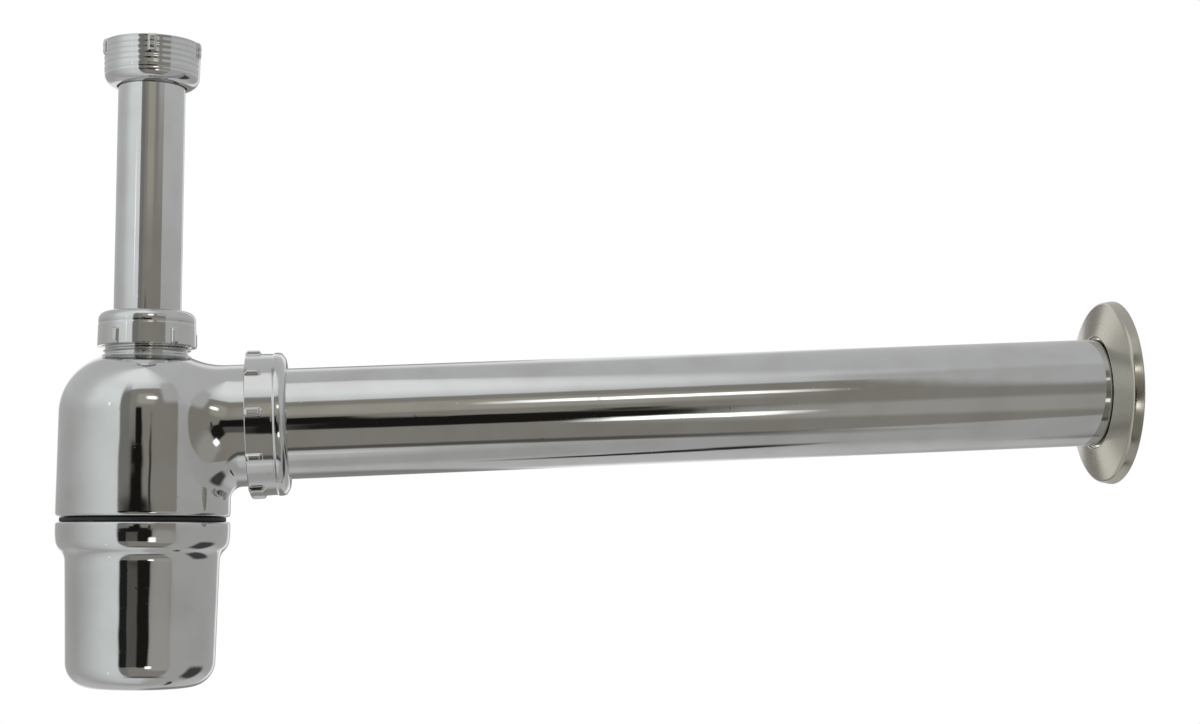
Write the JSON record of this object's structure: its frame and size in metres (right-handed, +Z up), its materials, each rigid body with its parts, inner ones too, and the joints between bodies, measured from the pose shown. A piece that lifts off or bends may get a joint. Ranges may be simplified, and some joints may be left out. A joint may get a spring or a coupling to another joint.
{
  "type": "basin trap",
  "caption": "Chromed bottle trap for a basin: lugged inlet nut, telescopic dip tube, screw-on cup, side outlet with lugged nut and a long wall tube with a pressed flange.",
  "frame": {"origin": "centre of the inlet nut's mouth, where the basin waste screws in", "axes": "+Z up along the inlet, +X out towards the wall"},
  "size_m": [0.3955, 0.0692, 0.2321],
  "materials": {
    "chrome": "polished chrome on brass",
    "flange_steel": "polished stainless steel sheet",
    "rubber": "matt black rubber",
    "slip_plastic": "natural white nylon"
  },
  "bodies": {
    "inlet_nut": {"inlet_nut": "chrome"},
    "inlet_pipe": {"inlet_tube": "chrome", "inlet_washer": "rubber"},
    "trap_body": {"body": "chrome", "neck_washer": "rubber", "outlet_washer": "rubber"},
    "neck_ring": {"neck_slip_ring": "slip_plastic"},
    "neck_nut": {"neck_nut": "chrome"},
    "cup_seal": {"cup_seal": "rubber"},
    "cup": {"cup": "chrome"},
    "outlet_ring": {"outlet_slip_ring": "slip_plastic"},
    "outlet_nut": {"outlet_nut": "chrome"},
    "outlet_tube": {"outlet_tube": "chrome"},
    "wall_flange": {"wall_flange": "flange_steel"}
  },
  "joints": [
    {"name": "inlet_swivel", "type": "hinge", "parent": "inlet_nut", "child": "inlet_pipe", "pos_m": [0, 0, 0], "axis": [0, 0, 1], "continuous": true},
    {"name": "trap_height", "type": "slide", "parent": "inlet_pipe", "child": "trap_body", "axis": [0, 0, 1], "range_m": [-0.025, 0.015]},
    {"name": "neck_nut_travel", "type": "slide", "parent": "trap_body", "child": "neck_ring", "axis": [0, 0, 1], "range_m": [0, 0.006]},
    {"name": "neck_nut_turn", "type": "hinge", "parent": "neck_ring", "child": "neck_nut", "pos_m": [0, 0, -0.0984], "axis": [0, 0, 1], "range_deg": [0, 1080]},
    {"name": "cup_travel", "type": "slide", "parent": "trap_body", "child": "cup_seal", "axis": [0, 0, -1], "range_m": [0, 0.008]},
    {"name": "cup_turn", "type": "hinge", "parent": "cup_seal", "child": "cup", "pos_m": [0, 0, -0.1738], "axis": [0, 0, -1], "range_deg": [0, 1440]},
    {"name": "outlet_nut_travel", "type": "slide", "parent": "trap_body", "child": "outlet_ring", "axis": [0.999, 0, 0.0454], "range_m": [0, 0.00577]},
    {"name": "outlet_nut_turn", "type": "hinge", "parent": "outlet_ring", "child": "outlet_nut", "pos_m": [0.05105, 0, -0.13828], "axis": [0.999, 0, 0.0454], "range_deg": [0, 900]},
    {"name": "outlet_reach", "type": "slide", "parent": "trap_body", "child": "outlet_tube", "axis": [0.999, 0, 0.0454], "range_m": [-0.008, 0.01]},
    {"name": "flange_slide", "type": "slide", "parent": "outlet_tube", "child": "wall_flange", "axis": [0.999, 0, 0.0454], "range_m": [-0.25, 0.004]}
  ],
  "couplings": [
    {"joint": "neck_nut_turn", "follows": "neck_nut_travel", "rad_per_m": 3141.6},
    {"joint": "cup_turn", "follows": "cup_travel", "rad_per_m": 3141.6},
    {"joint": "outlet_nut_turn", "follows": "outlet_nut_travel", "rad_per_m": 2721.2}
  ]
}
